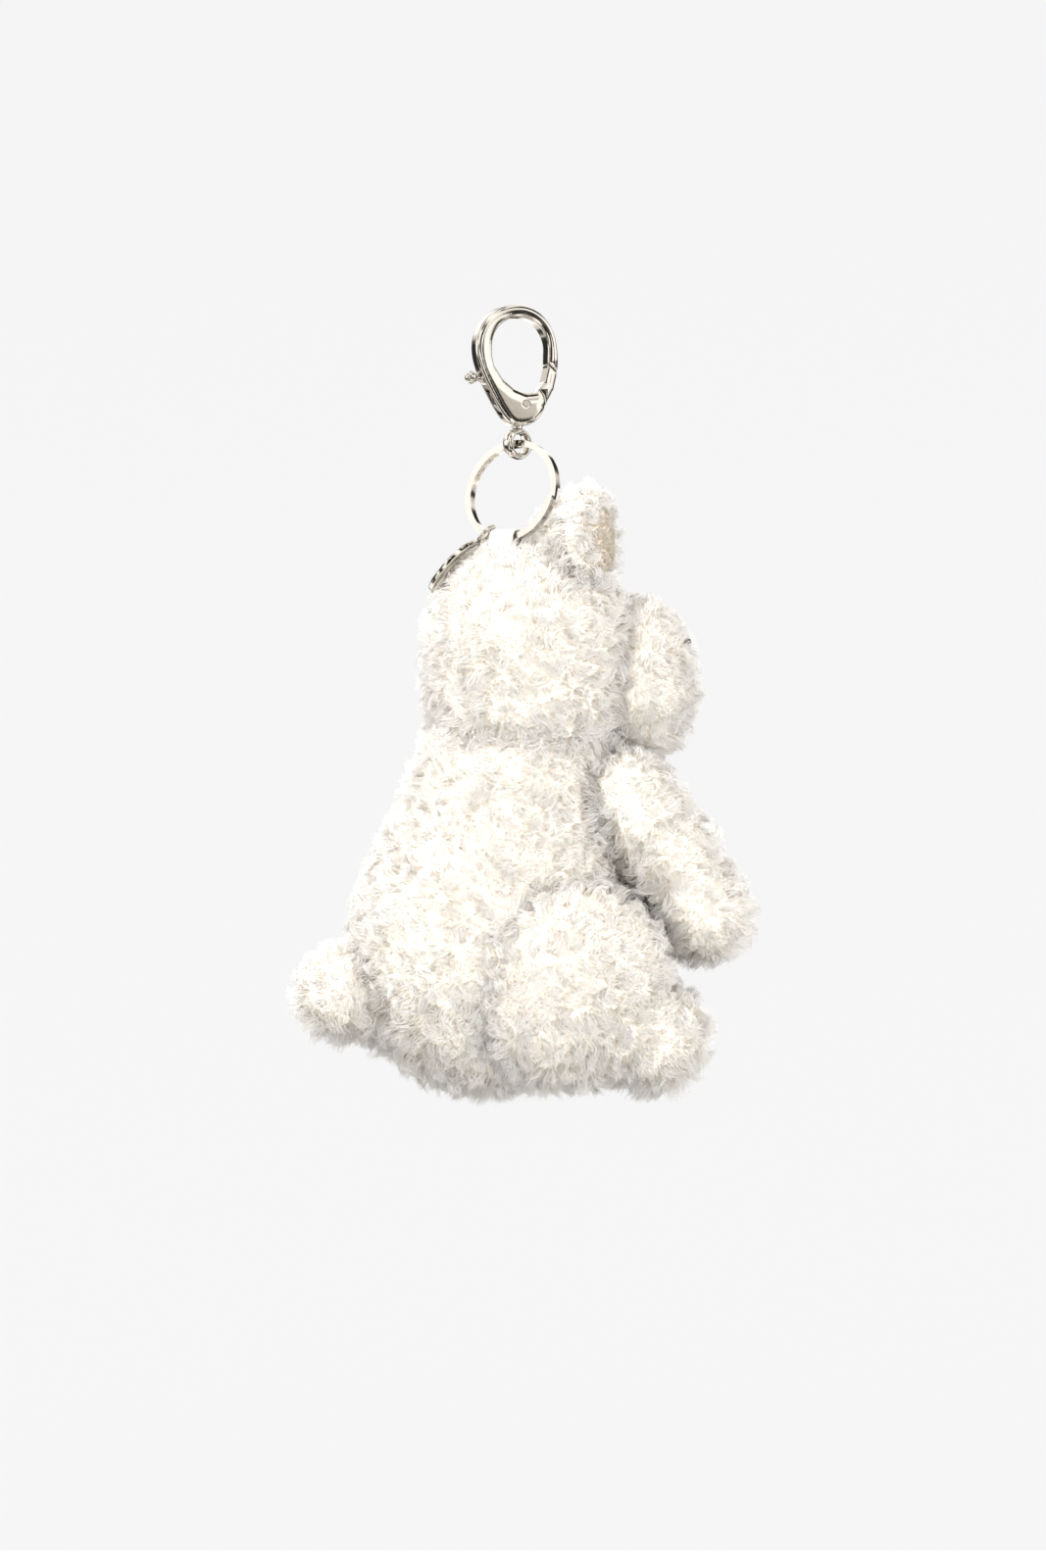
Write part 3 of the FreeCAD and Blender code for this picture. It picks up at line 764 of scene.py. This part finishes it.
def floor_material():
    m, tree, shader = material("pale_floor")
    shader.inputs["Base Color"].default_value = (0.12, 0.12, 0.12, 1)
    shader.inputs["Roughness"].default_value = 1.0
    shader.inputs["Specular IOR Level"].default_value = 0.0
    shader.inputs["Emission Color"].default_value = (1.0, 1.0, 1.0, 1)
    shader.inputs["Emission Strength"].default_value = FLOOR_GLOW
    return m


def bowl():
    """A pale floor that curves up all round, well away from the object."""
    level, flat_r, bend_r, bends, turns = -0.55, 1.3, 1.0, 12, 96
    wall_r = flat_r + bend_r
    profile = [(0.0, level), (flat_r, level)]
    for k in range(1, bends + 1):
        a = math.pi / 2 * k / bends
        profile.append((flat_r + bend_r * math.sin(a), level + bend_r * (1 - math.cos(a))))
    profile += [(wall_r, 1.2), (wall_r, 2.6)]
    points, faces = [], []
    for k in range(turns):
        a = 2 * math.pi * k / turns
        points += [(r * math.cos(a), r * math.sin(a), z) for r, z in profile]
    n = len(profile)
    for k in range(turns):
        for j in range(n - 1):
            a, b = k * n + j, (k + 1) % turns * n + j
            faces.append((a, b, b + 1, a + 1))
    obj = new_mesh("floor", np.array(points) / MM, faces)
    dress(obj, floor_material())
    obj.visible_glossy = False


def aim(obj, target):
    way = Vector(target) - obj.location
    obj.rotation_euler = way.to_track_quat("-Z", "Y").to_euler()


def lamp(name, right, front, up, size, power):
    """A disc lamp that aims at the object and shows in neither picture nor mirror."""
    data = bpy.data.lights.new(name, "AREA")
    data.shape = "DISK"
    data.size = size
    data.energy = power
    obj = bpy.data.objects.new(name, data)
    away = TO_RIGHT * right + TO_CAMERA * front + np.array([0, 0, up])
    obj.location = Vector(tuple(STAGE_CENTRE + away))
    bpy.context.scene.collection.objects.link(obj)
    aim(obj, tuple(STAGE_CENTRE))
    obj.visible_camera = False
    obj.visible_glossy = False


def mirror_room():
    """A large shell of dark and bright bands, seen only in reflections."""
    obj = new_mesh("mirror_room", COARSE_POINTS * ROOM_R, COARSE_FACES)
    m, tree, shader = material("mirror_room")
    where = tree.nodes.new("ShaderNodeTexCoord")
    cloud = tree.nodes.new("ShaderNodeTexNoise")
    cloud.inputs["Scale"].default_value = 0.8
    cloud.inputs["Detail"].default_value = 1.0
    cloud.inputs["Distortion"].default_value = 0.4
    link(tree, where.outputs["Object"], cloud.inputs["Vector"])
    stops = [(0.40, (0.012, 0.011, 0.010)), (0.465, (0.12, 0.10, 0.08)), (0.49, (0.70, 0.66, 0.59)),
             (0.58, (1.35, 1.33, 1.29))]
    shader.inputs["Base Color"].default_value = (0, 0, 0, 1)
    shader.inputs["Emission Strength"].default_value = 1.0
    link(tree, ramp(tree, cloud.outputs["Fac"], stops), shader.inputs["Emission Color"])
    dress(obj, m)
    obj.visible_camera = False
    obj.visible_diffuse = False
    obj.visible_transmission = False
    obj.visible_shadow = False


bowl()
# right of the view, towards the camera and up in metres, then size and power
lamp("key", -0.75, 0.55, 0.55, 1.0, 19.0)
lamp("fill", 0.8, 0.7, 0.1, 1.1, 10.5)
lamp("front", 0.1, 1.25, -0.25, 1.2, 12.0)
lamp("back", 0.0, -1.25, 0.0, 1.2, 14.0)
lamp("top", 0.0, -0.1, 0.95, 0.9, 7.5)
mirror_room()

scene = bpy.context.scene
world = bpy.data.worlds.new("studio")
world.use_nodes = True
background = world.node_tree.nodes["Background"]
background.inputs["Color"].default_value = (1.0, 1.0, 1.0, 1)
background.inputs["Strength"].default_value = 1.0
scene.world = world
scene.view_settings.view_transform = "Standard"
scene.view_settings.look = "None"
scene.cycles.diffuse_bounces = 8
scene.cycles.max_bounces = 16

camera_data = bpy.data.cameras.new("camera")
camera_data.lens = 85
camera_data.sensor_width = 36
camera_data.clip_start = 0.01
camera_data.clip_end = 20
camera = bpy.data.objects.new("camera", camera_data)
camera.location = Vector(STAGE_CENTRE + TO_CAMERA * CAMERA_AWAY)
scene.collection.objects.link(camera)
aim(camera, tuple(STAGE_CENTRE))
scene.camera = camera
